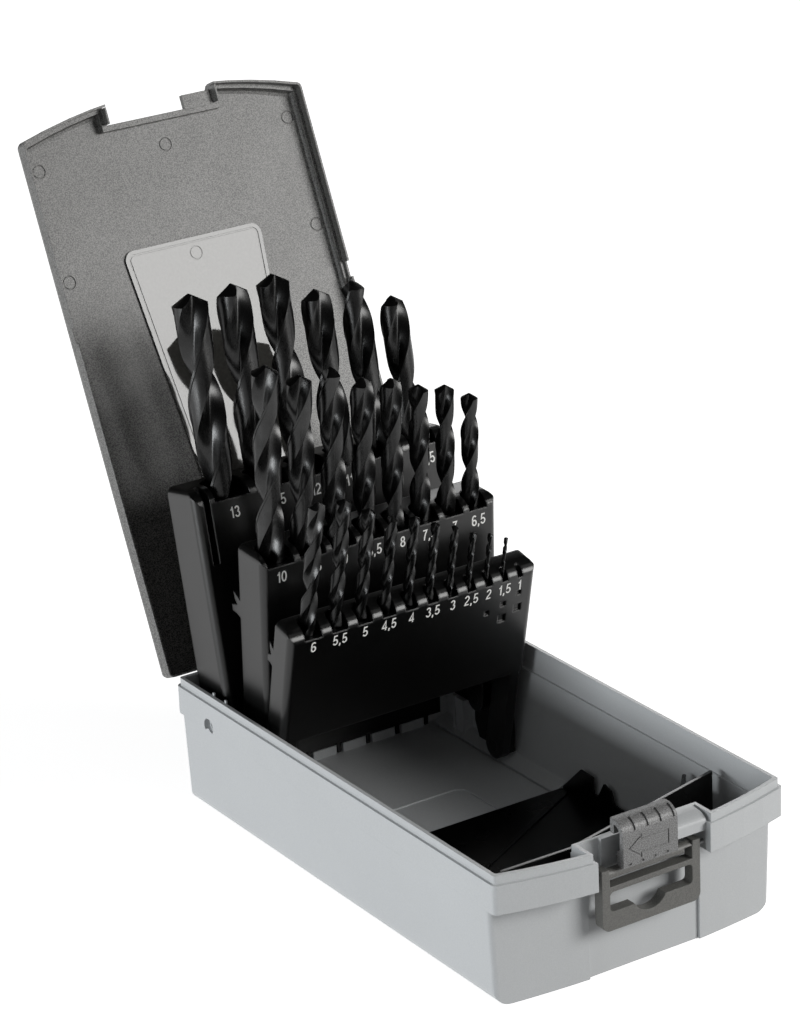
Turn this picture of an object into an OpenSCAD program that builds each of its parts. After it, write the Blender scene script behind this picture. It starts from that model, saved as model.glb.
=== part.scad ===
// Index case for twist drill bits: a light base, a hinged lid, and three black
// bit holders that rise like steps when the lid opens. Shown open, as it stands
// in use. X runs across the case, Y towards the hinge and Z up. The origin is
// the centre of the underside.

/* [Case] */
// Width over the rim
case_w = 118; // [117:0.5:121]
// Length from the front corners of the rim to the back
case_l = 200; // [198:0.5:206]
// Height of the rim, where the lid meets the base
rim_z = 47; // [46.5:0.1:48]
// Height of the thick band under the rim
band_h = 10.6; // [9:0.1:12]
// Wall of base and lid
wall = 2.2; // [1.8:0.1:2.4]
// Floor of the base
floor_t = 2.5; // [1.8:0.1:2.6]
// Radius of the four corners, seen from above
corner_r = 2; // [1.5:0.1:3]
// How far the front of the rim bows forward
rim_bow = 8.6; // [7:0.1:10]
// How far the front of the body bows forward
body_bow = 4; // [3:0.1:5]
// How far the rim's front corners stand ahead of the body
front_overhang = 5; // [3.5:0.1:5.5]
// How far the rim stands out at the sides
side_overhang = 1.2; // [0.8:0.1:1.4]
// How far the rim stands out at the back
back_overhang = 0.6; // [0.4:0.1:0.8]
// How much narrower each side is at the floor than at the rim
draft = 1.4; // [0.8:0.1:1.6]
// Radius of the two long bottom edges
foot_r = 6; // [4:0.5:7]
// Height of the lip that the lid closes over
lip_h = 3; // [2.4:0.1:3.2]
// How far the lip is set in from the rim
lip_inset = 1; // [0.9:0.05:1.2]
// Thickness of the lip
lip_t = 1.4; // [1.2:0.1:1.6]
// Height of the step inside the side walls
step_z = 40; // [38:0.5:42]

/* [Window and latch] */
// Width of the window cut in the front of the rim
window_w = 45.6; // [44:0.2:47]
// Front face of the window's back wall, ahead of the front corners' line
window_back = 1; // [0.6:0.1:1.4]
// Depth of the channel below the window
channel_d = 1.7; // [1:0.1:1.9]
// Width of the sliding latch
slider_w = 22.2; // [20:0.2:23]
// Travel of the latch from open to locked
slider_travel = 11; // [9:0.5:11.5]
// Sheet thickness of the latch
slider_t = 1.9; // [1.5:0.1:2.1]
// Height of the latch's top
slider_top = 57.7; // [57:0.1:59]
// Length of the rail that the latch slides on
rail_l = 22.3; // [21:0.1:23]
// Height of the rail's front face
rail_h = 3.4; // [2.8:0.1:3.8]
// How far the rail stands ahead of the window's back wall
rail_d = 6; // [5.5:0.1:6.4]
// Gap between latch and rail
slide_gap = 0.3; // [0.2:0.05:0.4]

/* [Hanger] */
// Half of the hanger's width
hanger_half = 20; // [19:0.1:20.6]
// Thickness of the hanger
hanger_t = 4.2; // [3.6:0.1:4.4]
// Height of the hanger's lower edge
hanger_low = 19.4; // [16:0.2:21]
// Height of the hanger's swing axis
hanger_axis_z = 39.2; // [39:0.1:39.6]
// Radius of the round notch in the hang hole
hook_notch_r = 7; // [6:0.1:7.4]
// Radius of the hanger's pins
hanger_pin_r = 0.8; // [0.6:0.05:0.9]

/* [Lid] */
// Angle between the closed and the open lid
open_angle = 114.2; // [100:0.1:118]
// Height of the lid's side above the rim
lid_h = 8.8; // [8.2:0.1:10]
// Thickness of the lid's roof
lid_roof = 2.4; // [2:0.1:2.6]
// Radius of the lid's outer edge
lid_edge_r = 3.5; // [2.5:0.1:4.5]
// Half width of the glossy panel at its front
panel_half = 29; // [26:0.5:32]
// Thickness of the glossy panel
panel_t = 0.8; // [0.5:0.1:1]
// Distance of the hinge axis behind the base
hinge_back = 2.1; // [1.8:0.1:2.6]
// Distance of the hinge axis below the rim
hinge_drop = 0.5; // [0.2:0.1:0.8]
// Outer radius of the hinge barrels
hinge_r = 3; // [2.6:0.1:3.2]
// Radius of the hinge pins
hinge_pin_r = 1.2; // [0.9:0.05:1.5]
// Centre of each hinge from the middle of the case
hinge_x = 34; // [28:1:40]
// Gap between lid and rim when closed
rim_gap = 0.15; // [0.1:0.05:0.3]

/* [Holders] */
// Lowest face of the folded holders above the table
stack_z = 4.5; // [4.2:0.1:5]
// Gap between folded holders
stack_gap = 0.4; // [0.3:0.05:0.6]
// Thickness of the front holder
front_t = 10; // [9:0.1:10.4]
// Thickness of the middle holder
middle_t = 16; // [15:0.1:16.2]
// Thickness of the rear holder
rear_t = 18.5; // [17.5:0.1:18.8]
// Gap between the rear holder and each side wall
rear_side_gap = 1.6; // [1:0.1:2.5]
// Gap between the front holder and each side wall
front_side_gap = 2.57; // [2.4:0.01:3.5]
// Gap between each side wall and the upright plates that carry the holders
cheek_side_gap = 1; // [0.6:0.1:1.4]
// Thickness of these plates
cheek_t = 3.2; // [2.6:0.1:3.4]
// Gap between the middle holder and each upright plate
cheek_gap = 0.7; // [0.5:0.1:1]
// Lean of the raised front holder, towards the front
front_lean = -12.5; // [-14:0.1:-10]
// Lean of the raised middle holder
middle_lean = -2.35; // [-4:0.05:0]
// Lean of the raised rear holder, towards the back
rear_lean = 11.4; // [9:0.1:12]
// Distance of the rear pivot from the back of the case
rear_pivot_back = 21.9; // [21:0.1:23]
// Height of the rear pivot
rear_pivot_z = 38.2; // [38:0.1:38.6]
// Distance of the middle pivot from the back of the case
middle_pivot_back = 36.6; // [36:0.1:38]
// Height of the middle pivot
middle_pivot_z = 24.6; // [24.2:0.1:25]
// Distance of the front pivot from the back of the case
front_pivot_back = 47.9; // [47:0.1:49]
// Height of the front pivot
front_pivot_z = 9.6; // [9.4:0.1:10]
// Radius of the six holder pins
pivot_pin_r = 1.9; // [1.5:0.1:2.2]
// Radial play of every pin in its bore
pin_play = 0.05; // [0.02:0.01:0.08]

/* [Sockets] */
// Front wall between each bit and the holder's face
socket_wall = 1.8; // [1.5:0.1:2]
// Radial play of a bit in its socket
socket_play = 0.1; // [0.05:0.05:0.2]
// Extra half width of the open mouth of a socket
mouth_play = 0.6; // [0.3:0.1:0.8]
// From the end of the rear holder to its first bit's centre
rear_end = 13.18; // [12.5:0.02:14.5]
// From the end of the middle holder to its first bit's centre
middle_end = 7.82; // [7:0.02:9]
// From the end of the front holder to its first bit's centre
front_end = 8.3; // [7.5:0.1:9.5]
// Shift of the rear row to the right
rear_shift = 2.6; // [0:0.1:3]
// Shift of the front row to the right
front_shift = 1.5; // [0:0.1:1.6]
// Depth of the rear sockets below the mouth edge
rear_socket = 77.7; // [74:0.1:78]
// Depth of the deepest middle socket below the mouth edge
middle_socket = 60.6; // [57:0.1:61]

/* [Drill bits] */
// Helix angle of the flutes, in degrees
helix_angle = 27; // [24:1:32]

/* [Hidden] */
$fn = 48;
eps = 0.01;

// ---- shared levels and planes ----
half_w = case_w/2;
back_y = case_l/2;
front_y = -case_l/2;
band_z = rim_z - band_h;
lip_z = rim_z + lip_h;
hinge_y = back_y + hinge_back;
hinge_z = rim_z - hinge_drop;
body_half = half_w - side_overhang;
body_back = back_y - back_overhang;
body_front = front_y + front_overhang;
lid_gap_side = lip_inset - 0.25;

// Half the width between the base's side walls at a height.
function inner(z) = body_half - draft*(1 - z/band_z) - wall;
floor_half = inner(0);

// ---- window, rail, latch and hanger ----
window_half = window_w/2;
window_y = front_y + window_back;
window_post = 2.5;
window_wall = 3.6;
lip_step = 1.6;
block_left = -15.6;
channel_left = -20.8;
slider_stop = 2.3;
channel_right = 24.7;
channel_y = window_y + channel_d;
rail_y = window_y - rail_d;
rail_z = rim_z - 3;
rail_top_z = rail_z + rail_h;
slider_left = window_half - slider_stop - slider_w - slider_travel;
slider_in = rail_y - slide_gap;
slider_out = slider_in - slider_t;
slider_r = 4.8;
slider_back = front_y - 0.3;
slider_lip_z = lip_z + 2.4;
slider_low = hanger_axis_z + hanger_t/2 + 0.2;
slider_cheek = 1.2;
groove_w = 1.1;
groove_pitch = 5.3;
dimple_pitch = 5;
tongue_w = 16;
hanger_y = window_y - 4;
hanger_arm = 3.2;

// ---- holder pivots, [y, z] ----
rear_pivot = [back_y - rear_pivot_back, rear_pivot_z];
middle_pivot = [back_y - middle_pivot_back, middle_pivot_z];
front_pivot = [back_y - front_pivot_back, front_pivot_z];
// distance from each pivot to the holder's front face, from the folded stack
middle_z = stack_z + front_t + stack_gap;
rear_z = middle_z + middle_t + stack_gap;
front_fp = front_pivot_z - stack_z;
middle_fp = middle_pivot_z - middle_z;
rear_fp = rear_pivot_z - rear_z;
// front mouth edge of the sockets above each pivot
rear_mouth = 80.1;
middle_mouth = 80.6;
front_mouth = 77.2;
cheek_out = floor_half - cheek_side_gap;
cheek_in = cheek_out - cheek_t;
leg_out = cheek_in - cheek_gap;
leg_in = leg_out - 3.8;
leg_r = 5;
rear_half = inner(rear_z) - rear_side_gap;
middle_half = leg_out;
front_half = inner(stack_z) - front_side_gap;
lug_in = rear_half - 7.3;
pin_pocket = 2.2;

// ---- front insert and rear floor strip ----
insert_back = front_pivot[0] - 34.1;
insert_half = floor_half - 2.6;
fence_t = 1.3;
// how far the two fences run back at the right, from the inside of the front
tall_fence_back = 23.5;
low_fence_back = 38.3;
strip_pitch = 13;
strip_y = body_back - wall - 2.4;

// ---- hinge barrels ----
barrel_mid = 6;
barrel_end = 11;
barrel_gap = 0.3;

// ---- standard jobber drill sizes: diameter, full length, flute length ----
rear_bits = [[13, 151, 101], [12.5, 151, 101], [12, 151, 101], [11.5, 142, 94],
  [11, 142, 94], [10.5, 133, 87]];
middle_bits = [[10, 133, 87], [9.5, 125, 81], [9, 125, 81], [8.5, 117, 75],
  [8, 117, 75], [7.5, 109, 69], [7, 109, 69], [6.5, 101, 63]];
front_bits = [[6, 93, 57], [5.5, 93, 57], [5, 86, 52], [4.5, 80, 47], [4, 75, 43],
  [3.5, 70, 39], [3, 61, 33], [2.5, 57, 30], [2, 49, 24], [1.5, 40, 18], [1, 34, 12]];
// depth of each front socket below the mouth edge
front_sockets = [39.7, 41.2, 40.9, 40.6, 38.2, 38.1, 32.7, 33.5, 28, 22.6, 18.2];
// how far each middle socket ends above the deepest one
middle_raise = [0.4, 1.8, 1.8, 3, 0, 3, 0.4, 2.8];
// the last socket of the front row is empty
front_filled = len(front_bits) - 2;

// Web between bits that spreads a row from one end margin to the other.
function sum_steps(bits, i = 1) = i >= len(bits) ? 0
  : (bits[i - 1][0] + bits[i][0])/2 + sum_steps(bits, i + 1);
function web_of(bits, half, end) = (2*(half - end) - sum_steps(bits))/(len(bits) - 1);
rear_web = web_of(rear_bits, rear_half, rear_end);
middle_web = web_of(middle_bits, middle_half, middle_end);
front_web = web_of(front_bits, front_half, front_end);

// ---- node names ----
function size_name(d) = d == floor(d) ? str("bit_", d) : str("bit_", floor(d), "_5");
rear_names = [for (b = rear_bits) size_name(b[0])];
middle_names = [for (b = middle_bits) size_name(b[0])];
front_names = [for (i = [0:front_filled]) size_name(front_bits[i][0])];

// ---- plan outlines ----
// Rounded rectangle whose front edge bows forward in one arc.
function outline(hw, back, front, r, bow, n = 6) =
  let (big = (hw*hw + bow*bow)/(2*bow),
    cy = front - bow + big,
    turn = asin((hw - r)/(big - r)),
    fy = cy - (big - r)*cos(turn))
  concat(
    [for (i = [0:n]) let (a = 90*i/n) [hw - r + r*cos(a), back - r + r*sin(a)]],
    [for (i = [0:n]) let (a = 90 + 90*i/n) [r - hw + r*cos(a), back - r + r*sin(a)]],
    [for (i = [0:n]) let (a = 180 + (90 - turn)*i/n) [r - hw + r*cos(a), fy + r*sin(a)]],
    [for (i = [1:2*n - 1]) let (a = 270 - turn + turn*i/n) [big*cos(a), cy + big*sin(a)]],
    [for (i = [0:n]) let (a = 270 + turn + (90 - turn)*i/n) [hw - r + r*cos(a), fy + r*sin(a)]]);

// The rim's outline, set in by a distance.
function rim_outline(inset) =
  outline(half_w - inset, back_y - inset, front_y + inset, max(corner_r - inset, 1), rim_bow);

// The body's outline at a height, set in by a distance.
function body_outline(z, inset) =
  let (side = body_half - draft*(1 - z/band_z) - inset)
  outline(side, body_back - inset, body_front + inset, max(corner_r - inset, 1), body_bow);

module slab(z, points, t = eps) translate([0, 0, z]) linear_extrude(t) polygon(points);

// A bar along X with a profile drawn in Y and Z.
module bar_x(x0, x1) translate([x0, 0, 0]) rotate([90, 0, 90]) linear_extrude(x1 - x0) children();

// A round bar along X.
module rod_x(x0, x1, y, z, r) translate([x0, y, z]) rotate([0, 90, 0]) cylinder(h = x1 - x0, r = r);

// Copies its children to the other side of the case.
module both_sides() {
  children();
  mirror([1, 0, 0]) children();
}

// Turns a part modelled closed to where the open lid stands.
module opened_lid() {
  translate([0, hinge_y, hinge_z]) rotate([-open_angle, 0, 0])
    translate([0, -hinge_y, -hinge_z]) children();
}

// ---- base ----
// Drafted box whose two long bottom edges are rounded.
module body_form(inset, z0, z1, r) {
  side = body_half - draft*(1 - (z0 + r)/band_z) - inset;
  intersection() {
    hull() {
      slab(z0, body_outline(z0, inset));
      slab(z1 - eps, body_outline(z1, inset));
    }
    translate([0, case_l, 0]) rotate([90, 0, 0]) linear_extrude(2*case_l) polygon(concat(
      [[-side - draft, z1 + 1]], [for (i = [0:6]) let (a = 15*i) [r - side - r*cos(a), z0 + r*(1 - sin(a))]],
      [for (i = [6:-1:0]) let (a = 15*i) [side - r + r*cos(a), z0 + r*(1 - sin(a))]],
      [[side + draft, z1 + 1]]));
  }
}

module window_block(half, y, z0, z1) {
  translate([-half, y - 20, z0]) cube([2*half, 20, z1 - z0]);
}

module base_cavity() {
  difference() {
    body_form(wall, floor_t, step_z + eps, 3);
    window_block(window_half + window_post, window_y + window_wall, -1, step_z + 1);
  }
  upper_cavity(step_z, rim_z - step_z + eps, window_wall);
  upper_cavity(rim_z, lip_h + 1, lip_step + lip_t);
}

// Space inside the rim, cut back behind the window by a wall of a thickness.
module upper_cavity(z, h, behind) {
  translate([0, 0, z]) linear_extrude(h) difference() {
    polygon(rim_outline(lip_inset + lip_t));
    translate([-window_half - window_post, front_y - 20])
      square([window_w + 2*window_post, 20 + window_back + behind]);
  }
}

module rail() {
  curve = 6;
  bar_x(window_half - rail_l, window_half + 2*eps) polygon(concat(
    [[window_y + lip_step + 0.3, rail_z], [rail_y, rail_z], [rail_y, rail_top_z]],
    [for (i = [1:curve]) let (a = 90*i/curve)
      [rail_y + (rail_d + 0.8)*(1 - cos(a)), rail_top_z + (lip_z - rail_top_z)*sin(a)]],
    [[window_y + lip_step + 0.3, lip_z]]));
}

module hinge_barrel(x0, x1) {
  rod_x(x0, x1, hinge_y, hinge_z, hinge_r);
}

module side_bracket() {
  translate([cheek_in + 0.3, rear_pivot[0] + 0.6, floor_t - 0.2]) difference() {
    cube([cheek_t + cheek_side_gap + 0.4, 7.5, 14.2]);
    translate([-1, 5.1, 0.2]) cube([1.8, 0.8, 20]);
  }
}

module floor_slope() {
  translate([0, body_back - wall - 1, 0]) rotate([90, 0, 0])
    linear_extrude(body_back - wall - 1 - insert_back - 0.5)
    polygon([[floor_half - 5.6, floor_t - 0.5], [floor_half - 5.6, floor_t],
      [floor_half + 0.3, floor_t + 2.6], [floor_half + 1.2, floor_t + 2.6],
      [floor_half + 0.3, floor_t - 0.3]]);
}

module foot_strip() {
  difference() {
    translate([9.2 - floor_half, strip_y, floor_t - 0.5]) cube([2*(floor_half - 9.2), 3, 4]);
    for (x = [-35:strip_pitch:43]) translate([x, strip_y - 1, floor_t]) cube([3, 3, 5]);
  }
}

module floor_grooves() {
  both_sides() translate([floor_half - 7.2, insert_back + 2, floor_t - 1])
    cube([1.4, body_back - wall - insert_back - 6, 2]);
}

module floor_bead() {
  difference() {
    translate([0, 0, floor_t - 0.3]) linear_extrude(0.8) polygon(panel_edge(0));
    translate([0, 0, floor_t - 1]) linear_extrude(4) polygon(panel_edge(0.9));
  }
}

function panel_edge(inset) =
  let (w = 25 - inset, top = 43 - inset, low = insert_back + 0.3 + inset, r = 5 - inset)
  concat([[w, low]], [for (i = [0:5]) let (a = 18*i) [w - r + r*cos(a), top - r + r*sin(a)]],
    [for (i = [0:5]) let (a = 90 + 18*i) [r - w + r*cos(a), top - r + r*sin(a)]], [[-w, low]]);

module base_shell() color([0.72, 0.74, 0.75]) {
  difference() {
    union() {
      body_form(0, 0, band_z + eps, foot_r);
      difference() {
        translate([0, 0, band_z]) linear_extrude(band_h) polygon(rim_outline(0));
        window_block(window_half, window_y, band_z - 1, lip_z + 1);
      }
      difference() {
        translate([0, 0, rim_z - 1]) linear_extrude(lip_h + 1) polygon(rim_outline(lip_inset));
        window_block(window_half + 1.1, window_y + lip_step, rim_z - 2, lip_z + 1);
      }
      translate([block_left, window_y, rim_z - 1])
        cube([window_half - rail_l - block_left + 1, lip_step + 1, lip_h + 1]);
      both_sides() {
        for (x = [hinge_x - barrel_end, hinge_x + barrel_mid + barrel_gap]) {
          hinge_barrel(x, x + barrel_end - barrel_mid - barrel_gap);
          translate([x, back_y - 1, hinge_z - 4])
            cube([barrel_end - barrel_mid - barrel_gap, hinge_back + 1, 4]);
        }
      }
    }
    base_cavity();
    translate([channel_left, front_y - 30, -1])
      cube([channel_right - channel_left, 30 + channel_y - front_y, band_z + 1]);
    translate([-window_half, window_y - 1, band_z - eps])
      cube([window_half + block_left, 1 + lip_step, 30]);
    both_sides() {
      rod_x(hinge_x - barrel_mid - barrel_gap, hinge_x + barrel_mid + barrel_gap,
        hinge_y, hinge_z, hinge_r + 0.35);
      rod_x(hinge_x - barrel_end - 1, hinge_x + barrel_end + 1, hinge_y, hinge_z,
        hinge_pin_r + pin_play);
      rod_x(rear_half - 1, half_w + 1, rear_pivot[0], rear_pivot[1], pivot_pin_r + pin_play);
      rod_x(half_w - pin_pocket, half_w + 1, rear_pivot[0], rear_pivot[1], 3);
      rod_x(window_half - 1, window_half + 2, hanger_y, hanger_axis_z, hanger_pin_r + pin_play);
    }
    floor_grooves();
  }
  rail();
  both_sides() side_bracket();
  both_sides() floor_slope();
  foot_strip();
  floor_bead();
  both_sides() for (d = [-0.5, -8.7])
    translate([half_w - lip_inset - lip_t - 0.7, rear_pivot[0] + d - 0.6, lip_z - 3]) {
      cube([1.1, 1.2, 2.9]);
      cube([0.6, 1.2, 3.9]);
    }
}

// ---- lid, modelled closed ----
module lid_shell() color([0.3, 0.31, 0.31]) opened_lid() {
  z0 = rim_z + rim_gap;
  top = rim_z + lid_h;
  roof = top - lid_roof;
  cover = lip_z + 0.3;
  difference() {
    union() {
      difference() {
        hull() {
          slab(z0, rim_outline(0));
          for (a = [0:30:90])
            slab(top - eps - lid_edge_r*(1 - sin(a)), rim_outline(lid_edge_r*(1 - cos(a))));
        }
        hull() {
          slab(cover - 0.5, rim_outline(wall));
          slab(roof - 1.5, rim_outline(wall));
          slab(roof - 0.45, rim_outline(wall + 0.45));
          slab(roof - eps, rim_outline(wall + 1.5));
        }
        slab(z0 - 1, rim_outline(lid_gap_side), cover - z0 + 1);
      }
      intersection() {
        slab(z0, rim_outline(1), lid_h - 1.5);
        union() {
          window_block(window_half + 0.85, front_y, z0, cover);
          window_block(window_half + wall, front_y + wall + 0.1, cover - eps, top);
        }
      }
      both_sides() {
        hinge_barrel(hinge_x - barrel_mid, hinge_x + barrel_mid);
        translate([hinge_x - barrel_mid, back_y - 1, rim_z + 1.2])
          cube([2*barrel_mid, hinge_back + 1, 1.4]);
      }
    }
    window_block(window_half + 0.15, front_y + 0.1, z0 - 1, top + 1);
    both_sides() {
      for (x = [hinge_x - barrel_end - 0.4, hinge_x + barrel_mid])
        rod_x(x, x + barrel_end - barrel_mid + 0.4, hinge_y, hinge_z, hinge_r + 0.35);
      rod_x(hinge_x - barrel_mid - 1, hinge_x + barrel_mid + 1, hinge_y, hinge_z,
        hinge_pin_r + pin_play);
    }
    for (x = [-1, 0, 1], y = [front_y + 11, front_y + 52.5])
      translate([x*(half_w - 6), y, roof - 1]) ejector_ring(1.25);
    both_sides() translate([half_w - wall - 1, front_y + 69, z0 - 1]) cube([wall + 2, 6, 3]);
  }
  strike(roof);
}

module ejector_ring(h) {
  difference() {
    cylinder(h = h, r = 2.6);
    translate([0, 0, -1]) cylinder(h = h + 2, r = 2.2);
  }
}

// Plate under which the latch's lip slides.
module strike(roof) {
  x0 = slider_left + slider_w + 0.7;
  translate([x0, front_y - 5, lip_z + 0.2]) cube([window_half - 0.4 - x0, 5.6, 2]);
}

// Outline of the glossy panel, set in by a distance.
module panel_plan(inset) {
  narrow = 8.5;
  hull() {
    for (s = [-1, 1]) {
      translate([s*(panel_half - 4), front_y + 50.5]) circle(4 - inset);
      translate([s*(panel_half - narrow - 4), back_y - 52]) circle(4 - inset);
    }
  }
}

module lid_panel() color([0.42, 0.42, 0.42]) opened_lid() {
  face = rim_z + lid_h - lid_roof - panel_t;
  difference() {
    translate([0, 0, face]) linear_extrude(panel_t) panel_plan(0);
    difference() {
      translate([0, 0, face - 1]) linear_extrude(1.25) panel_plan(1.5);
      translate([0, 0, face - 2]) linear_extrude(3) panel_plan(2.1);
    }
    translate([0, front_y + 52.5, face - 1]) ejector_ring(1.2);
  }
}

module lid_hinge_pins() color([0.6, 0.6, 0.62]) {
  both_sides() rod_x(hinge_x - barrel_end, hinge_x + barrel_end, hinge_y, hinge_z, hinge_pin_r);
}

// ---- carrier and pins ----
module holder_carrier() color([0.05, 0.05, 0.055]) {
  top = rear_z - 0.7;
  foot = floor_t + 3.5;
  wall_y = body_back - wall - 0.2;
  intersection() {
    slab(foot, body_outline(foot, wall + 0.2), rim_z);
    union() {
      difference() {
        both_sides() bar_x(cheek_in, cheek_out) polygon([
          [front_pivot[0] - 2.7, foot], [front_pivot[0] + 15.8, foot],
          [middle_pivot[0] + 7, foot + 6], [middle_pivot[0] + 7, foot + 12.5],
          [wall_y, foot + 12.5], [wall_y, top], [front_pivot[0] - 2.7, top]]);
        both_sides() for (at = [front_pivot, middle_pivot])
          rod_x(cheek_in - 1, cheek_out + 1, at[0], at[1], pivot_pin_r + pin_play);
      }
      translate([-cheek_in - 1, wall_y - 1.6, foot])
        cube([2*cheek_in + 2, 1.6, rear_pivot[1] + 5 - foot]);
    }
  }
  for (x = [-35:strip_pitch:43]) translate([x + 0.6, strip_y + 0.2, floor_t + 0.3])
    cube([1.5, 0.8, 4]);
}

module pin_pair(x0, x1, at) color([0.1, 0.1, 0.1]) {
  both_sides() rod_x(x0, x1, at[0], at[1], pivot_pin_r);
}

module rear_pivot_pins() pin_pair(lug_in + 1.8, half_w - pin_pocket - 0.1, rear_pivot);

module middle_pivot_pins() pin_pair(leg_in, cheek_out, middle_pivot);

module front_pivot_pins() pin_pair(leg_in, cheek_out, front_pivot);

// ---- holders, modelled upright about their pivots ----
// Centre of bit i in a row, so that the webs between bits are equal.
function row_x(bits, web, i) = i == 0 ? 0 : row_x(bits, web, i - 1)
  + (bits[i - 1][0] + bits[i][0])/2 + web;
function bit_x(bits, web, i) = row_x(bits, web, i) - row_x(bits, web, len(bits) - 1)/2;

module raised(pivot, lean) translate([0, pivot[0], pivot[1]]) rotate([-lean, 0, 0]) children();

// Block with rounded upright edges and a rounded shoulder at its top front edge.
module holder_block(half, fp, t, z0, mouth, rise) {
  r = 2.5;
  depth = min(8, t - 1);
  intersection() {
    translate([0, 0, z0 - 1]) linear_extrude(mouth + rise - z0 + 2) union() {
      translate([-half + r, -fp]) square([2*half - 2*r, t]);
      translate([-half, r - fp]) square([2*half, t - r]);
      for (s = [-1, 1]) translate([s*(half - r), r - fp]) circle(r);
    }
    bar_x(-half - 1, half + 1) polygon(concat([[-fp + t, z0], [-fp, z0]],
      [for (i = [0:6]) let (a = 15*i) [-fp + depth*(1 - cos(a)), mouth + rise*sin(a)]],
      [[-fp + t, mouth + rise]]));
    translate([0, t, 0]) rotate([90, 0, 0]) linear_extrude(2*t) polygon(concat(
      [[-half, z0], [half, z0]],
      [for (i = [0:4]) let (a = 22.5*i) [half - r + r*cos(a), mouth + rise - r + r*sin(a)]],
      [for (i = [0:4]) let (a = 90 + 22.5*i) [r - half + r*cos(a), mouth + rise - r + r*sin(a)]]));
  }
}

// Bore for one bit, open to the front above the mouth edge.
module socket(d, fp, bottom, mouth) {
  y = d/2 + socket_wall - fp;
  slot = d/2 + mouth_play;
  translate([0, y, bottom]) cylinder(h = mouth - bottom + 40, r = d/2 + socket_play);
  translate([0, y, mouth]) cylinder(h = 40, r = slot);
  translate([-slot, y - d/2 - socket_wall - 1, mouth]) cube([2*slot, d/2 + socket_wall + 1, 40]);
}

// Leg from a holder's block down to its pivot.
module holder_leg(top) {
  translate([leg_in, -leg_r, 0]) cube([leg_out - leg_in, 2*leg_r, top]);
  rod_x(leg_in, leg_out, 0, 0, leg_r);
}

// Thin two-pronged hook on a holder's back, standing out by a reach.
module rear_hook(x, y, z, reach) {
  k = reach/3.4;
  translate([x, 0, 0]) bar_x(0, 1.4) polygon([[y - 0.5, z + 1], [y + 2.6*k, z + 3.6],
    [y + 2.2*k, z + 1], [y + 1.2*k, z - 1], [y + reach, z - 2], [y + 3.2*k, z - 4.4],
    [y + 1.4*k, z - 4.6], [y - 0.5, z - 5.6]]);
}

module rear_holder() color([0.06, 0.06, 0.065]) raised(rear_pivot, rear_lean) {
  difference() {
    union() {
      holder_block(rear_half, rear_fp, rear_t, 1, rear_mouth, 5.5);
      both_sides() {
        rod_x(lug_in, rear_half, 0, 0, rear_fp - 0.1);
        translate([lug_in, -rear_fp + 0.1, 0]) cube([rear_half - lug_in, rear_fp + 5, 4]);
      }
    }
    for (i = [0:len(rear_bits) - 1]) translate([bit_x(rear_bits, rear_web, i) + rear_shift, 0, 0])
      socket(rear_bits[i][0], rear_fp, rear_mouth - rear_socket, rear_mouth);
    both_sides() rod_x(lug_in + 1.6, rear_half + 1, 0, 0, pivot_pin_r + pin_play);
    translate([-middle_half - 0.6, -rear_fp - 1, rear_mouth - 22]) cube([2.6, 8, 36]);
  }
}

module middle_holder() color([0.06, 0.06, 0.065]) raised(middle_pivot, middle_lean) {
  bottom = middle_mouth - middle_socket;
  difference() {
    union() {
      holder_block(middle_half, middle_fp, middle_t, bottom - 2, middle_mouth, 4.4);
      both_sides() holder_leg(bottom);
    }
    for (i = [0:len(middle_bits) - 1]) translate([bit_x(middle_bits, middle_web, i), 0, 0])
      socket(middle_bits[i][0], middle_fp, bottom + middle_raise[i], middle_mouth);
    both_sides() rod_x(leg_in - 1, leg_out + 1, 0, 0, pivot_pin_r + pin_play);
  }
  rear_hook(-middle_half, middle_t - middle_fp, middle_mouth - 18.5, 5.6);
}

module front_holder() color([0.06, 0.06, 0.065]) raised(front_pivot, front_lean) {
  block_z = front_mouth - max(front_sockets) - 1;
  difference() {
    union() {
      holder_block(front_half, front_fp, front_t, block_z, front_mouth, 4.5);
      both_sides() translate([0, front_t - front_fp - leg_r, 0]) holder_leg(block_z + 1);
    }
    for (i = [0:len(front_bits) - 1])
      translate([bit_x(front_bits, front_web, i) + front_shift, 0, 0])
        socket(front_bits[i][0], front_fp, front_mouth - front_sockets[i], front_mouth);
    both_sides() rod_x(leg_in - 1, leg_out + 1, 0, 0, pivot_pin_r + pin_play);
    for (w = [[10, 7.4, 2], [9, 10.6, 2.2], [10, 14.4, 3.2], [9, 17.2, 3.2], [8, 12.4, 2]])
      translate([bit_x(front_bits, front_web, w[0]) + front_shift - w[2]/2, -front_fp - 1,
        front_mouth - w[1]]) cube([w[2], 1.9, w[2]]);
  }
  rear_hook(-front_half, front_t - front_fp, front_mouth - 9, 3.4);
}

// ---- drill bits ----
// Cross-section of a two-flute drill: a web with two rounded lands.
function flute_points(r) = [for (s = [0, 180]) each [
  for (a = [[8, 1], [40, 1], [72, 1], [84, 0.62], [110, 0.34], [150, 0.4]])
    [r*a[1]*cos(a[0] + s), r*a[1]*sin(a[0] + s)]]];

module drill_bit(size, turn) {
  r = size[0]/2;
  tip = r*0.6;
  sink = 0.1*r;
  plain = size[1] - size[2];
  pitch = 2*PI*r/tan(helix_angle);
  twist = 360*(size[2] - tip)/pitch;
  cylinder(h = plain, r = r, $fn = 24);
  rotate(turn) {
    translate([0, 0, plain - sink]) linear_extrude(size[2] - tip + sink, twist = -twist,
      slices = ceil(twist/36), segments = 12) polygon(flute_points(r*0.99));
    translate([0, 0, size[1] - tip - sink]) rotate(twist) linear_extrude(tip + sink,
      scale = 0.12, segments = 12) polygon(flute_points(r*0.96));
  }
}

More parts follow.
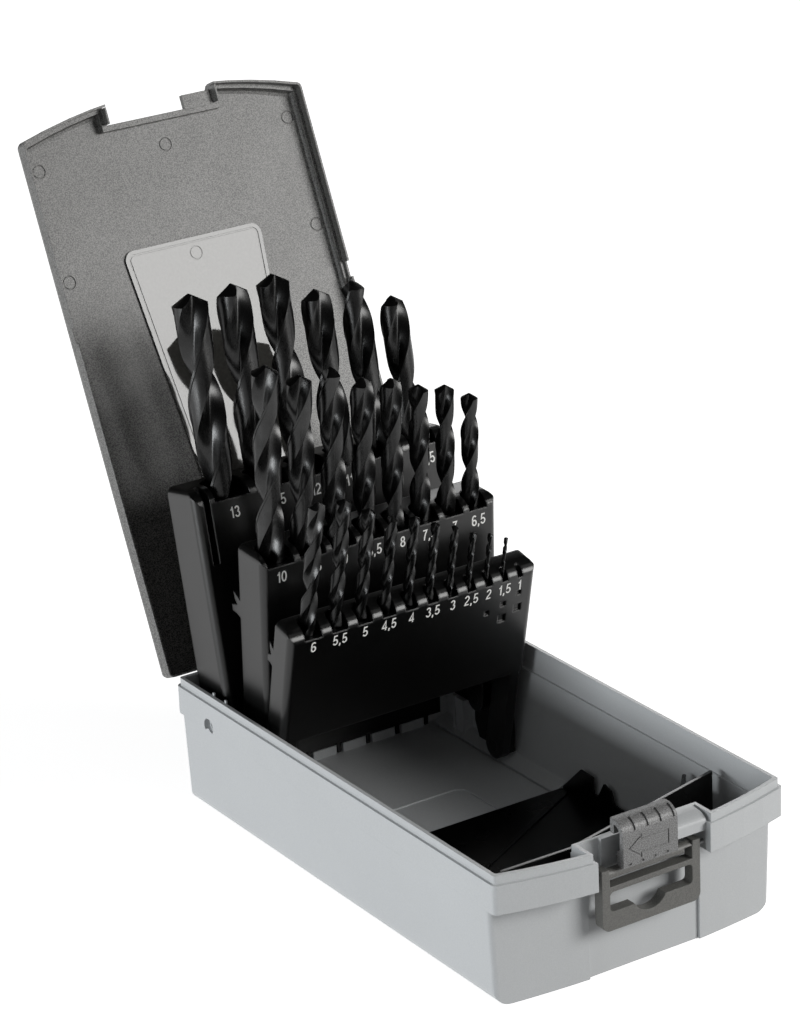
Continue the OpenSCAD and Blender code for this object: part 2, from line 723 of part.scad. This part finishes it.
module seated_bit(bits, web, i, fp, bottom, shift) {
  d = bits[i][0];
  color([0.07, 0.07, 0.075])
    translate([bit_x(bits, web, i) + shift, d/2 + socket_wall - fp, bottom])
    drill_bit(bits[i], 47*i);
}

// ---- front insert ----
// Upright wall between two plan points with its own height at each.
module fence(a, b, za, zb) {
  hull() {
    translate([a[0], a[1], floor_t + 0.9]) cylinder(h = za - floor_t - 0.9, d = fence_t, $fn = 16);
    translate([b[0], b[1], floor_t + 0.9]) cylinder(h = zb - floor_t - 0.9, d = fence_t, $fn = 16);
  }
}

module insert_cheek() {
  x0 = front_half + 0.3;
  bar_x(x0, x0 + 0.8) polygon([[insert_back, floor_t + 0.8], [insert_back, floor_t + 1.6],
    [7, 14.7], [-0.4, 14.2], [-0.4, 8], [-3.4, 8], [-7, 14.2], [-11, 13], [-13, 8.2], [-16.8, 8],
    [body_front + 33, 7], [body_front + 29, floor_t + 0.8]]);
}

module front_insert() color([0.03, 0.03, 0.03]) {
  edge = body_front + wall + 1.7;
  slab(floor_t + 0.05, outline(insert_half, insert_back, edge, 3, body_bow - 0.4), 1.05);
  slab(floor_t + 0.8, outline(front_half + 1.1, insert_back, edge, 3, body_bow - 0.4), 0.3);
  knee = [-22, body_front + wall + 1.8];
  right = front_half + 0.4;
  fence([1.8 - front_half, body_front + wall + 1], knee, rim_z - 0.4, rim_z - 1.2);
  fence(knee, [right, body_front + wall + tall_fence_back], rim_z - 1.2, rim_z - 4);
  fence([right - 18.2, body_front + wall + low_fence_back - 20],
    [right, body_front + wall + low_fence_back], rim_z - 12, rim_z - 11);
  both_sides() insert_cheek();
  hull() {
    translate([-7, -18, floor_t + 0.9]) cylinder(h = stack_z - 0.3 - floor_t - 0.9, d = 1, $fn = 16);
    translate([49, 13.5, floor_t + 0.9]) cylinder(h = stack_z - 0.3 - floor_t - 0.9, d = 3, $fn = 16);
  }
}

// ---- latch slider ----
// Outer and inner curve of the latch's hook, from front plate to back lip.
function hook_curve(r, y) = let (c = [slider_out + slider_r, slider_top - slider_r])
  concat([for (i = [0:7]) let (a = 180 - 90*i/7) [c[0] + r*cos(a), c[1] + r*sin(a)]],
    [[y, c[1] + r]]);

// Arrow on the latch that points to its open end, set in by a distance.
function arrow(i) = [[1.9 + 1.6*i, 6.5], [7.5 - i, 10.8 - 2.3*i], [7.5 - i, 9.2 - i],
  [18.6 - i, 9.2 - i], [18.6 - i, 3.8 + i], [7.5 - i, 3.8 + i], [7.5 - i, 2.1 + 2.3*i]];

module latch_slider() color([0.5, 0.5, 0.49]) {
  x1 = slider_left + slider_w;
  inner = slider_r - slider_t;
  c = [slider_out + slider_r, slider_top - slider_r];
  difference() {
    bar_x(slider_left, x1) polygon(concat([[slider_out, slider_low]],
      hook_curve(slider_r, slider_back), [[slider_back, slider_lip_z]],
      [[slider_back - slider_t, slider_lip_z]], [[slider_back - slider_t, c[1] + inner]],
      [for (i = [7:-1:0]) let (a = 180 - 90*i/7) [c[0] + inner*cos(a), c[1] + inner*sin(a)]],
      [[slider_in, slider_low]]));
    for (i = [0:3]) let (x = slider_left + 4.2 + groove_pitch*i)
      bar_x(x, x + groove_w) polygon(concat(
        [for (a = [100:13:165]) [c[0] + (slider_r + 1)*cos(a), c[1] + (slider_r + 1)*sin(a)]],
        [for (a = [165:-13:100]) [c[0] + (slider_r - 0.5)*cos(a), c[1] + (slider_r - 0.5)*sin(a)]]));
    for (i = [0:3]) translate([slider_left + 1.7 + dimple_pitch*i, slider_out - 1, slider_low + 0.6])
      cube([1.6, 1.4, 0.8]);
    translate([slider_left, slider_out + 0.3, slider_low]) rotate([90, 0, 0]) linear_extrude(1)
      difference() {
        polygon(arrow(0));
        polygon(arrow(0.5));
      }
  }
  bar_x(slider_left, slider_left + slider_cheek) polygon([[slider_in - 0.1, slider_low],
    [rail_y + 1.2, slider_low], [rail_y + 1.2, rim_z], [slider_in - 0.1, rim_z]]);
  bar_x(slider_left + 1.5, slider_left + 1.5 + tongue_w) polygon([
    [slider_in - 0.5, rail_z - slide_gap], [slider_in - 0.5, rail_z - slide_gap - 1.6],
    [rail_y + 3.4, rail_z - slide_gap - 1.6], [rail_y + 4, rail_z - slide_gap]]);
}

// ---- hanger ----
module hanger() color([0.4, 0.4, 0.39]) {
  top = hanger_axis_z;
  slot_low = 35.3;
  hole_top = 33.4;
  hole_low = 26.2;
  inside = hanger_half - hanger_arm;
  difference() {
    union() {
      translate([0, hanger_y + hanger_t/2, 0]) rotate([90, 0, 0]) linear_extrude(hanger_t) union() {
        translate([-hanger_half, hanger_low + 3]) square([2*hanger_half, top - hanger_low - 3]);
        translate([3 - hanger_half, hanger_low]) square([2*hanger_half - 6, top - hanger_low]);
        for (s = [-1, 1]) translate([s*(hanger_half - 3), hanger_low + 3]) circle(3);
        for (s = [-1, 1]) translate([s*(hanger_half - 1.5) - 1.5, top]) square([3, 2.5]);
      }
      rod_x(-hanger_half, hanger_half, hanger_y, top, hanger_t/2);
    }
    translate([0, hanger_y + hanger_t, 0]) rotate([90, 0, 0]) linear_extrude(2*hanger_t) union() {
      translate([-inside, slot_low]) square([2*inside, 3.2]);
      translate([inside - 3.3, slot_low]) square([3.3, 4.6]);
      translate([1.5 - inside, hole_low]) square([2*inside - 3, hole_top - hole_low]);
      translate([-inside, hole_low + 1.5]) square([2*inside, hole_top - hole_low - 3]);
      for (s = [-1, 1], z = [hole_low + 1.5, hole_top - 1.5])
        translate([s*(inside - 1.5), z]) circle(1.5);
      intersection() {
        translate([-0.6, hole_low + 3.2]) circle(hook_notch_r);
        translate([-hanger_half, hanger_low]) square([2*hanger_half, hole_low + 3.2 - hanger_low]);
      }
    }
    both_sides() rod_x(hanger_half - 2.6, hanger_half + 1, hanger_y, top,
      hanger_pin_r + pin_play);
  }
}

module hanger_pins() color([0.4, 0.4, 0.39]) {
  both_sides() rod_x(hanger_half - 2.5, window_half + 1.9, hanger_y, hanger_axis_z, hanger_pin_r);
}

// ---- the assembly ----
base_shell();
lid_shell();
lid_panel();
lid_hinge_pins();
holder_carrier();
rear_pivot_pins();
middle_pivot_pins();
front_pivot_pins();
rear_holder();
middle_holder();
front_holder();
front_insert();
latch_slider();
hanger();
hanger_pins();
for (i = [0:len(rear_bits) - 1])
  raised(rear_pivot, rear_lean)
    seated_bit(rear_bits, rear_web, i, rear_fp, rear_mouth - rear_socket, rear_shift);
for (i = [0:len(middle_bits) - 1])
  raised(middle_pivot, middle_lean)
    seated_bit(middle_bits, middle_web, i, middle_fp,
      middle_mouth - middle_socket + middle_raise[i], 0);
for (i = [0:front_filled])
  raised(front_pivot, front_lean)
    seated_bit(front_bits, front_web, i, front_fp, front_mouth - front_sockets[i], front_shift);
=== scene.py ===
import math

import bpy
import numpy as np
from mathutils import Matrix, Vector


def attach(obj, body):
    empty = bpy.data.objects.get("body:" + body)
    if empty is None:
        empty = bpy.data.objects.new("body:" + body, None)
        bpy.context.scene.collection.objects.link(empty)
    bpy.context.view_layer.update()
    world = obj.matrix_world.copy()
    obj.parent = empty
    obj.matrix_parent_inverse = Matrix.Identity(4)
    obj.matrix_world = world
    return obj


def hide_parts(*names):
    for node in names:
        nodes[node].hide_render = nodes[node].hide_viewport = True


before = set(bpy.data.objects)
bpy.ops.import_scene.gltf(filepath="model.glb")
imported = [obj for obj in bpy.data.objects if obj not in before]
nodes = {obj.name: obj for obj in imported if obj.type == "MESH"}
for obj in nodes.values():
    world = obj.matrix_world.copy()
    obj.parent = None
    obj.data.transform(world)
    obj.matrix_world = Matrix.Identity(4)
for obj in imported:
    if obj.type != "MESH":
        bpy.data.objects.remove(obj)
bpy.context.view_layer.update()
MM = 0.001
scene = bpy.context.scene


# ---- materials ----
SHEEN_DRIFT = 0.012  # how far a plastic's roughness wanders either way


def new_material(name):
    m = bpy.data.materials.new(name)
    m.use_nodes = True
    tree = m.node_tree
    tree.nodes.clear()
    out = tree.nodes.new("ShaderNodeOutputMaterial")
    shader = tree.nodes.new("ShaderNodeBsdfPrincipled")
    tree.links.new(shader.outputs["BSDF"], out.inputs["Surface"])
    return m, tree, shader


def noise(tree, coord, scale, detail=2.0, stretch=None):
    node = tree.nodes.new("ShaderNodeTexNoise")
    node.inputs["Scale"].default_value = scale
    node.inputs["Detail"].default_value = detail
    if stretch:
        mapping = tree.nodes.new("ShaderNodeMapping")
        mapping.inputs["Scale"].default_value = stretch
        tree.links.new(coord, mapping.inputs["Vector"])
        coord = mapping.outputs["Vector"]
    tree.links.new(coord, node.inputs["Vector"])
    return node.outputs["Fac"]


def ramp(tree, value, stops):
    node = tree.nodes.new("ShaderNodeValToRGB")
    elements = node.color_ramp.elements
    while len(elements) < len(stops):
        elements.new(0.5)
    for e, (pos, color) in zip(elements, stops):
        e.position = pos
        e.color = (*color, 1.0)
    tree.links.new(value, node.inputs["Fac"])
    return node.outputs["Color"]


def spread(tree, value, low, high, from_low=0.3, from_high=0.7):
    node = tree.nodes.new("ShaderNodeMapRange")
    node.inputs["From Min"].default_value = from_low
    node.inputs["From Max"].default_value = from_high
    node.inputs["To Min"].default_value = low
    node.inputs["To Max"].default_value = high
    tree.links.new(value, node.inputs["Value"])
    return node.outputs["Result"]


def multiply(tree, a, b):
    node = tree.nodes.new("ShaderNodeMix")
    node.data_type = "RGBA"
    node.blend_type = "MULTIPLY"
    node.inputs["Factor"].default_value = 1.0
    tree.links.new(a, node.inputs["A"])
    tree.links.new(b, node.inputs["B"])
    return node.outputs["Result"]


def plastic(name, dark, light, rough, spec, grain, bump, bevel=0.25, cloud=0.04):
    """Moulded plastic: a speckle between two colours, slow tone drift, fine grain, soft edges.

    The bevel is in mm."""
    m, tree, shader = new_material(name)
    coord = tree.nodes.new("ShaderNodeTexCoord").outputs["Object"]
    fine = noise(tree, coord, grain, 1.0)
    slow = noise(tree, coord, 22.0, 3.0)
    speckle = ramp(tree, fine, [(0.36, dark), (0.64, light)])
    drift = ramp(tree, slow, [(0.3, (1 - cloud,) * 3), (0.7, (1.0,) * 3)])
    tree.links.new(multiply(tree, speckle, drift), shader.inputs["Base Color"])
    tree.links.new(spread(tree, noise(tree, coord, 60.0), rough - SHEEN_DRIFT, rough + SHEEN_DRIFT),
                   shader.inputs["Roughness"])
    shader.inputs["Specular IOR Level"].default_value = spec
    rounded = tree.nodes.new("ShaderNodeBevel")
    rounded.samples = 4
    rounded.inputs["Radius"].default_value = bevel * MM
    relief = tree.nodes.new("ShaderNodeBump")
    relief.inputs["Strength"].default_value = bump
    relief.inputs["Distance"].default_value = 0.05 * MM
    tree.links.new(fine, relief.inputs["Height"])
    tree.links.new(rounded.outputs["Normal"], relief.inputs["Normal"])
    tree.links.new(relief.outputs["Normal"], shader.inputs["Normal"])
    return m


def steel(name, low, high, rough, stretch, bump):
    """Metal with fine drawn or ground lines."""
    m, tree, shader = new_material(name)
    coord = tree.nodes.new("ShaderNodeTexCoord").outputs["Object"]
    lines = noise(tree, coord, 900.0, 2.0, stretch)
    slow = noise(tree, coord, 90.0, 3.0)
    tree.links.new(ramp(tree, slow, [(0.35, low), (0.65, high)]), shader.inputs["Base Color"])
    tree.links.new(spread(tree, lines, rough - 0.05, rough + 0.06), shader.inputs["Roughness"])
    shader.inputs["Metallic"].default_value = 1.0
    relief = tree.nodes.new("ShaderNodeBump")
    relief.inputs["Strength"].default_value = bump
    relief.inputs["Distance"].default_value = 0.02 * MM
    tree.links.new(lines, relief.inputs["Height"])
    tree.links.new(relief.outputs["Normal"], shader.inputs["Normal"])
    return m


def grey(value):
    return (value, value, value)


BASE = plastic("base_plastic", (0.500, 0.515, 0.525), (0.535, 0.550, 0.560),
               0.33, 0.5, 2600.0, 0.08)
LID = plastic("lid_plastic", grey(0.015), (0.185, 0.182, 0.174), 0.40, 0.6, 2300.0, 0.8,
              cloud=0.02)
HOLDER = plastic("holder_plastic", grey(0.0008), grey(0.0018), 0.29, 0.5, 2400.0, 0.06,
                 bevel=0.9, cloud=0.1)
CARRIER = plastic("carrier_plastic", grey(0.002), grey(0.004), 0.35, 0.4, 2400.0, 0.05, cloud=0.1)
INSERT = plastic("insert_plastic", grey(0.0012), grey(0.0025), 0.28, 0.4, 1500.0, 0.02, cloud=0.1)
LATCH = plastic("latch_plastic", grey(0.10), grey(0.25), 0.45, 0.5, 2500.0, 0.3, bevel=0.3, cloud=0.04)
HANGER = plastic("hanger_plastic", (0.085, 0.084, 0.078), (0.125, 0.123, 0.115),
                 0.45, 0.5, 2300.0, 0.25, bevel=0.5)
PANEL = plastic("panel_gloss", (0.036, 0.035, 0.032), (0.046, 0.045, 0.041),
                0.04, 0.5, 900.0, 0.01, cloud=0.1, bevel=0.1)
PIN = steel("pin_steel", grey(0.25), grey(0.34), 0.3, (1.0, 12.0, 12.0), 0.15)
BIT = steel("black_oxide", grey(0.030), grey(0.046), 0.30, (6.0, 6.0, 1.0), 0.12)
# brighter steel on the flute margins is a painted highlight, standing in for the light their sharp edges
# catch
MARGIN_GLINT = steel("margin_painted_highlight", grey(0.14), grey(0.22), 0.25, (6.0, 6.0, 1.0), 0.10)
WHITE = plastic("number_paint", (0.82, 0.82, 0.80), (0.88, 0.88, 0.86), 0.5, 0.3, 3000.0, 0.05, bevel=0.02)

LOOKS = {
    "base_shell": BASE, "lid_shell": LID, "lid_panel": PANEL, "lid_hinge_pins": PIN,
    "holder_carrier": CARRIER, "rear_pivot_pins": CARRIER, "middle_pivot_pins": CARRIER,
    "front_pivot_pins": CARRIER, "rear_holder": HOLDER, "middle_holder": HOLDER,
    "front_holder": HOLDER, "front_insert": INSERT, "latch_slider": LATCH,
    "hanger": HANGER, "hanger_pins": PIN,
}


def paint(obj, *materials):
    obj.data.materials.clear()
    for material in materials:
        obj.data.materials.append(material)


for name, look in LOOKS.items():
    paint(nodes[name], look)


# ---- the three rows ----
# Each drill: diameter, full length, flute length. Lengths in mm, leans in degrees.
# A row has its pivot (y, z), its lean, and, about that pivot, the distance of its face, the
# heights of its mouth edge and numbers, the webs between sockets, and the sockets' depths.
REAR = [(13, 151, 101), (12.5, 151, 101), (12, 151, 101), (11.5, 142, 94), (11, 142, 94),
        (10.5, 133, 87)]
MIDDLE = [(10, 133, 87), (9.5, 125, 81), (9, 125, 81), (8.5, 117, 75), (8, 117, 75), (7.5, 109, 69),
          (7, 109, 69), (6.5, 101, 63)]
FRONT = [(6, 93, 57), (5.5, 93, 57), (5, 86, 52), (4.5, 80, 47), (4, 75, 43), (3.5, 70, 39),
         (3, 61, 33), (2.5, 57, 30), (2, 49, 24), (1.5, 40, 18), (1, 34, 12)]
FRONT_DEPTHS = [39.7, 41.2, 40.9, 40.6, 38.2, 38.1, 32.7, 33.5, 28.0, 22.6, 18.2]
MIDDLE_DEPTHS = [60.2, 58.8, 58.8, 57.6, 60.6, 57.6, 60.2, 57.8]
ROWS = [
    dict(body="rear_row", bits=REAR, pivot=(78.1, 38.2), lean=11.4, face=6.9, mouth=80.1, web=4.5,
         shift=2.6, depths=[77.7] * 6, label=74.9, count=6),
    dict(body="middle_row", bits=MIDDLE, pivot=(63.4, 24.6), lean=-2.35, face=9.7, mouth=80.6, web=3.6,
         shift=0.0, depths=MIDDLE_DEPTHS, label=76.5, count=8),
    dict(body="front_row", bits=FRONT, pivot=(52.1, 9.6), lean=-12.5, face=5.1, mouth=77.2, web=5.2,
         shift=1.5, depths=FRONT_DEPTHS, label=74.0, count=10),
]
# turn of each bit about its own axis, in degrees, by diameter
PHASES = {13: 65, 12.5: 85, 12: 31, 11.5: 76, 11: 103, 10.5: 83, 10: 172, 9.5: 2, 9: 72, 8.5: 48,
          8: 8, 7.5: 107, 7: 119, 6.5: 76, 6: 174, 5.5: 82, 5: 64, 4.5: 176, 4: 48, 3.5: 5,
          3: 145, 2.5: 154, 2: 154, 1.5: 168}
SOCKET_WALL = 1.8


def raised(row):
    """Matrix from a holder's upright frame, in mm about its pivot, to the row frame in metres."""
    move = Matrix.Translation(Vector((0, row["pivot"][0], row["pivot"][1])) * MM)
    return move @ Matrix.Rotation(math.radians(-row["lean"]), 4, "X") @ Matrix.Scale(MM, 4)


def bit_x(row):
    bits, web = row["bits"], row["web"]
    xs = [0.0]
    for a, b in zip(bits, bits[1:]):
        xs.append(xs[-1] + (a[0] + b[0]) / 2 + web)
    return [x - xs[-1] / 2 + row["shift"] for x in xs]


# ---- drill bits ----
# Half of a two-flute cross-section: angle in degrees and share of the radius.
SECTION = [(0, 1.0), (4, 1.0), (8, 1.0), (9.5, 0.955), (20, 0.95), (32, 0.95), (44, 0.95), (56, 0.95),
           (66, 0.945), (74, 0.93), (80, 0.80), (87, 0.58), (95, 0.42), (106, 0.30), (120, 0.235),
           (138, 0.215), (152, 0.26), (162, 0.36), (169, 0.51), (174, 0.70), (177.5, 0.87)]
SHARP_COLUMNS = (0, 2, 3, 9)
# section columns at each lip that take the painted margin highlight
GLINT_COLUMNS = 2
HELIX = math.radians(27)
HALF_POINT = math.radians(59)
RELIEF = 0.13  # fall of the point's faces behind each lip, as a share of the radius
CHAMFER = 0.4
LEVELS_PER_RADIUS = 3.2
RUNOUT = 1.1  # length of the flutes' run-out, as a share of the diameter
POINT_RINGS = (0.66, 0.36, 0.14)


def section():
    ring = [(math.radians(a + turn), r) for turn in (0, 180) for a, r in SECTION]
    return np.array([a for a, _ in ring]), np.array([r for _, r in ring])


def drill_mesh(name, size, turn):
    """Twist drill with its shank end at the origin, pointing up, in mm."""
    d, length, flute = size
    r = d / 2
    angles, shares = section()
    n = len(angles)
    twist_rate = math.tan(HELIX) / r
    start = length - flute
    top = length - r * shares / math.tan(HALF_POINT)
    # the point's two faces fall away behind each lip
    behind = np.degrees(angles) % 180
    top = top - RELIEF * r * shares * np.clip(behind / 90, 0, 1)
    levels = max(24, int(flute / r * LEVELS_PER_RADIUS))
    verts, faces = [], []
    for k in range(-3, levels + 1):
        if k < 0:
            z = np.full(n, [0.0, CHAMFER, start][k + 3])
            share = np.full(n, [0.9, 1.0, 1.0][k + 3])
            spin = np.zeros(n)
        else:
            t = k / levels
            z = start + (top - start) * t
            runout = min(1.0, (z.mean() - start) / (RUNOUT * d))
            fade = runout * runout * (3 - 2 * runout)
            share = 1 + (shares - 1) * fade
            spin = (z - start) * twist_rate
        a = angles + spin + turn
        verts += [(r * s * math.cos(q), r * s * math.sin(q), h) for s, q, h in zip(share, a, z)]
    rings = levels + 4
    for i in range(rings - 1):
        for j in range(n):
            k = (j + 1) % n
            faces.append((i * n + j, i * n + k, (i + 1) * n + k, (i + 1) * n + j))
    faces.append(tuple(range(n))[::-1])
    # point: rings that shrink towards the chisel edge
    spin = (top - start) * twist_rate
    last = (rings - 1) * n
    for step in POINT_RINGS:
        share = shares * step
        z = length - r * share / math.tan(HALF_POINT)
        z = z - RELIEF * r * share * np.clip(behind / 90, 0, 1)
        base = len(verts)
        a = angles + spin + turn
        verts += [(r * s * math.cos(q), r * s * math.sin(q), h) for s, q, h in zip(share, a, z)]
        faces += [(last + j, last + (j + 1) % n, base + (j + 1) % n, base + j) for j in range(n)]
        last = base
    verts.append((0, 0, length - 0.02 * r))
    faces += [(last + j, last + (j + 1) % n, len(verts) - 1) for j in range(n)]
    mesh = bpy.data.meshes.new(name)
    mesh.from_pydata([tuple(map(float, v)) for v in verts], [], faces)
    mesh.polygons.foreach_set("use_smooth", [True] * len(mesh.polygons))
    half = n // 2
    first_fluted = 5
    for k, polygon in enumerate(mesh.polygons):
        ring, column = divmod(k, n)
        # the margin columns along the fluted length take the painted highlight material
        if column % half < GLINT_COLUMNS and first_fluted <= ring < rings - 1:
            polygon.material_index = 1
    sharp = {s + h for s in SHARP_COLUMNS for h in (0, half)}
    body = rings * n
    for e in mesh.edges:
        a, b = e.vertices
        if a >= body or b >= body:
            continue
        along = a % n == b % n and a % n in sharp and min(a, b) >= 4 * n
        around = a // n == b // n and a // n in (0, rings - 1)
        if along or around:
            e.use_edge_sharp = True
    return mesh


def build_bits():
    for row in ROWS:
        xs = bit_x(row)
        for i in range(row["count"]):
            size = row["bits"][i]
            d = size[0]
            label = str(int(d)) if d == int(d) else f"{int(d)}_5"
            turn = math.radians(PHASES[d])
            obj = bpy.data.objects.new("drill_" + label, drill_mesh("drill_" + label, size, turn))
            scene.collection.objects.link(obj)
            seat = Vector((xs[i], d / 2 + SOCKET_WALL - row["face"], row["mouth"] - row["depths"][i]))
            obj.data.transform(raised(row) @ Matrix.Translation(seat))
            paint(obj, BIT, MARGIN_GLINT)
            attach(obj, row["body"])
            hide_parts("bit_" + label)


build_bits()


# ---- size numbers on the holders' faces ----
def arc(cx, cy, rx, ry, start, end, steps=10):
    """Points on an ellipse, angles in degrees."""
    angles = [math.radians(start + (end - start) * i / steps) for i in range(steps + 1)]
    return [(cx + rx * math.cos(a), cy + ry * math.sin(a)) for a in angles]


# Stroke centres of each character on a field 0.5 wide and 1 high, with its width.
STROKES = {
    "0": (0.50, [arc(0.25, 0.5, 0.20, 0.44, 90, 450, 20)]),
    "1": (0.34, [[(0.04, 0.70), (0.17, 0.80), (0.23, 0.94)], [(0.23, 1.0), (0.23, 0.0)]]),
    "2": (0.50, [arc(0.25, 0.71, 0.19, 0.23, 170, -20, 9)
                 + [(0.36, 0.50), (0.12, 0.24), (0.06, 0.07), (0.46, 0.07)]]),
    "3": (0.50, [arc(0.24, 0.73, 0.17, 0.21, 165, -80, 9),
                 arc(0.24, 0.29, 0.20, 0.23, 85, -165, 10)]),
    "4": (0.52, [[(0.36, 0.0), (0.36, 0.95), (0.04, 0.30), (0.04, 0.25), (0.50, 0.25)]]),
    "5": (0.50, [[(0.44, 0.94), (0.13, 0.94), (0.08, 0.50)]
                 + arc(0.24, 0.32, 0.20, 0.25, 120, -160, 11)]),
    "6": (0.50, [arc(0.27, 0.66, 0.19, 0.28, 35, 170, 7) + [(0.07, 0.42)]
                 + arc(0.26, 0.30, 0.19, 0.24, 180, 520, 16)]),
    "7": (0.48, [[(0.05, 0.93), (0.44, 0.93), (0.28, 0.60), (0.19, 0.30), (0.16, 0.0)]]),
    "8": (0.50, [arc(0.25, 0.73, 0.16, 0.21, 90, 450, 16),
                 arc(0.25, 0.28, 0.20, 0.22, 90, 450, 16)]),
    "9": (0.50, [arc(0.23, 0.34, 0.19, 0.28, -145, -10, 7) + [(0.43, 0.58)]
                 + arc(0.24, 0.70, 0.19, 0.24, 0, 340, 16)]),
    ",": (0.22, [[(0.11, 0.13), (0.11, -0.02), (0.06, -0.15)]]),
}
STROKE = 0.135
LETTER_GAP = 0.10
NUMBER_HEIGHT = 4.1
NUMBER_LIFT = 0.05  # paint in front of a holder's face, in mm


def ribbon(points, verts, faces):
    """Adds a flat band of even width along a line of points."""
    line = [Vector(p) for p in points]
    start = len(verts)
    for i, p in enumerate(line):
        ahead = (line[min(i + 1, len(line) - 1)] - p).normalized() if i + 1 < len(line) else None
        behind = (p - line[i - 1]).normalized() if i else None
        along = (ahead or behind) if not (ahead and behind) else (ahead + behind).normalized()
        side = Vector((-along.y, along.x))
        reach = STROKE / 2
        if ahead and behind:
            reach /= max(0.55, along.dot(ahead))
        verts += [tuple(p + side * reach), tuple(p - side * reach)]
    faces += [(k, k + 1, k + 3, k + 2) for k in range(start, len(verts) - 3, 2)]


def number_shape(text, height):
    """Flat vertices in mm about the word's centre, and faces."""
    verts, faces, pen = [], [], 0.0
    for letter in text:
        width, lines = STROKES[letter]
        for points in lines:
            ribbon([(pen + x, y) for x, y in points], verts, faces)
        pen += width + LETTER_GAP
    mid = (pen - LETTER_GAP) / 2
    return [((x - mid) * height, (y - 0.5) * height) for x, y in verts], faces


def build_numbers():
    for row in ROWS:
        verts, faces = [], []
        for x, size in zip(bit_x(row), row["bits"]):
            d = size[0]
            text = str(int(d)) if d == int(d) else f"{int(d)},5"
            outline, bands = number_shape(text, NUMBER_HEIGHT)
            base = len(verts)
            verts += [(x + a, -row["face"] - NUMBER_LIFT, row["label"] + b) for a, b in outline]
            faces += [tuple(base + k for k in p) for p in bands]
        name = row["body"] + "_numbers"
        mesh = bpy.data.meshes.new(name)
        mesh.from_pydata(verts, [], faces)
        mesh.transform(raised(row))
        obj = bpy.data.objects.new(name, mesh)
        scene.collection.objects.link(obj)
        paint(obj, WHITE)
        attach(obj, row["body"])


build_numbers()


# ---- stage, light and camera; metres ----
FLOOR_HALF = 6.0
FLOOR_DROP = 0.0002
FLOOR_GLOW = 0.75
FILL = 0.17
MIRRORED_FILL = 0.04
CAMERA_AT = Vector((-0.67234, -1.01389, 0.61777))
YAW, PITCH, ROLL = 0.5689, 0.381, -0.0449
FOCAL_PX, IMAGE_H = 3863.4, 1026.0


def build_floor():
    mesh = bpy.data.meshes.new("floor")
    s = FLOOR_HALF
    mesh.from_pydata([(-s, -s, 0), (s, -s, 0), (s, s, 0), (-s, s, 0)], [], [(0, 1, 2, 3)])
    floor = bpy.data.objects.new("floor", mesh)
    floor.location.z = -FLOOR_DROP
    scene.collection.objects.link(floor)
    m, tree, shader = new_material("floor")
    shader.inputs["Base Color"].default_value = (0.85, 0.85, 0.85, 1)
    shader.inputs["Roughness"].default_value = 0.9
    shader.inputs["Specular IOR Level"].default_value = 0.0
    shader.inputs["Emission Color"].default_value = (1, 1, 1, 1)
    shader.inputs["Emission Strength"].default_value = FLOOR_GLOW
    paint(floor, m)
    floor.visible_diffuse = False


def softbox(name, at, aim, size, radiance, tint=(1, 1, 1)):
    light = bpy.data.lights.new(name, "AREA")
    light.shape = "RECTANGLE"
    light.size, light.size_y = size
    light.energy = radiance * math.pi * size[0] * size[1]
    light.color = tint
    obj = bpy.data.objects.new(name, light)
    obj.location = at
    obj.rotation_mode = "QUATERNION"
    obj.rotation_quaternion = (Vector(aim) - Vector(at)).to_track_quat("-Z", "Y")
    scene.collection.objects.link(obj)


def build_lights():
    softbox("softbox_front", (1.13, -1.40, 0.80), (0, 0.12, 0.14), (0.95, 0.85), 12.0,
            (1, 0.995, 0.98))
    softbox("softbox_left", (-1.9, 0.10, 0.20), (0, 0, 0.05), (1.3, 0.38), 18.0, (0.95, 0.98, 1))
    softbox("softbox_back", (1.15, 1.75, 0.86), (0, 0, 0.05), (0.9, 0.5), 4.5)
    world = bpy.data.worlds.new("studio")
    scene.world = world
    world.use_nodes = True
    tree = world.node_tree
    tree.nodes.clear()
    out = tree.nodes.new("ShaderNodeOutputWorld")
    path = tree.nodes.new("ShaderNodeLightPath")
    last = None
    for strength, ray in ((FILL, None), (MIRRORED_FILL, "Is Glossy Ray"), (1.0, "Is Camera Ray")):
        sky = tree.nodes.new("ShaderNodeBackground")
        sky.inputs["Color"].default_value = (1, 1, 1, 1)
        sky.inputs["Strength"].default_value = strength
        if last is None:
            last = sky.outputs["Background"]
            continue
        mix = tree.nodes.new("ShaderNodeMixShader")
        tree.links.new(path.outputs[ray], mix.inputs["Fac"])
        tree.links.new(last, mix.inputs[1])
        tree.links.new(sky.outputs["Background"], mix.inputs[2])
        last = mix.outputs["Shader"]
    tree.links.new(last, out.inputs["Surface"])


def build_camera():
    forward = Vector((math.sin(YAW) * math.cos(PITCH), math.cos(YAW) * math.cos(PITCH),
                      -math.sin(PITCH)))
    side = Vector((math.cos(YAW), -math.sin(YAW), 0))
    top = side.cross(forward)
    right = side * math.cos(ROLL) + top * math.sin(ROLL)
    up = top * math.cos(ROLL) - side * math.sin(ROLL)
    data = bpy.data.cameras.new("camera")
    data.sensor_fit = "AUTO"
    data.sensor_width = 36.0
    data.lens = FOCAL_PX * 36.0 / IMAGE_H
    data.clip_start, data.clip_end = 0.05, 20.0
    camera = bpy.data.objects.new("camera", data)
    turn = Matrix((right, up, -forward)).transposed().to_4x4()
    camera.matrix_world = Matrix.Translation(CAMERA_AT) @ turn
    scene.collection.objects.link(camera)
    scene.camera = camera


build_floor()
build_lights()
build_camera()
scene.view_settings.view_transform = "Standard"
scene.view_settings.look = "None"
